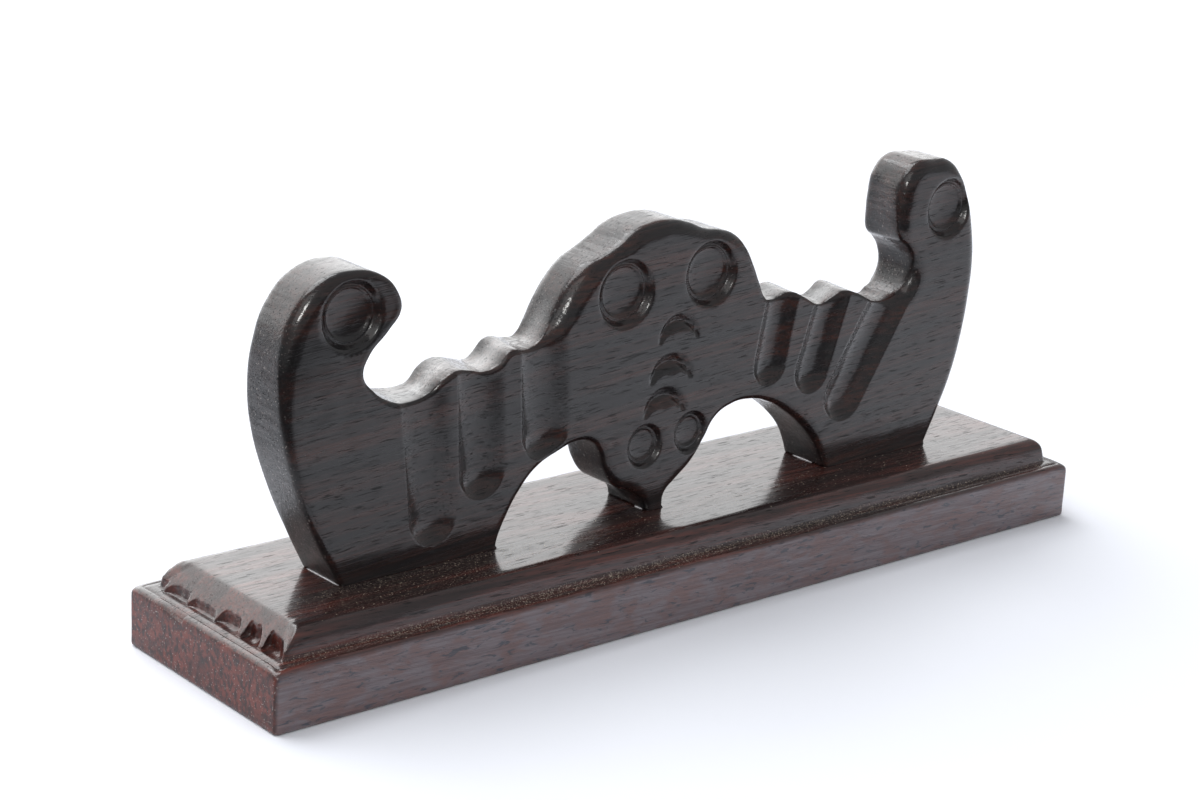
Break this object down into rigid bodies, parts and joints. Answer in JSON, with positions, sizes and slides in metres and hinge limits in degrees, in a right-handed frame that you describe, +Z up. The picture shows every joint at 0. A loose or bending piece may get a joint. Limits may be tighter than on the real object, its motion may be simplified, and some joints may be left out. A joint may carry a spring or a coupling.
{
  "type": "carved headrest",
  "caption": "Small dark hardwood rest: a carved board with curled wing tips, a lobed centre and splayed feet, standing on a moulded rectangular plinth.",
  "frame": {"origin": "middle of the plinth's underside, which is the plane the object stands on", "axes": "+X along the plinth, +Y from the front of the carved board towards its back, +Z up"},
  "size_m": [0.2, 0.0476, 0.0777],
  "materials": {
    "plinth_wood": "dark red-brown streaked hardwood, clear lacquer",
    "upright_wood": "near-black hardwood, clear lacquer over the carving",
    "peg_wood": "bare turned peg"
  },
  "bodies": {
    "root": {"base_plinth": "plinth_wood", "carved_upright": "upright_wood", "left_foot_peg_outer": "peg_wood", "left_foot_peg_inner": "peg_wood", "centre_foot_peg": "peg_wood", "right_foot_peg_inner": "peg_wood", "right_foot_peg_outer": "peg_wood"}
  },
  "joints": []
}
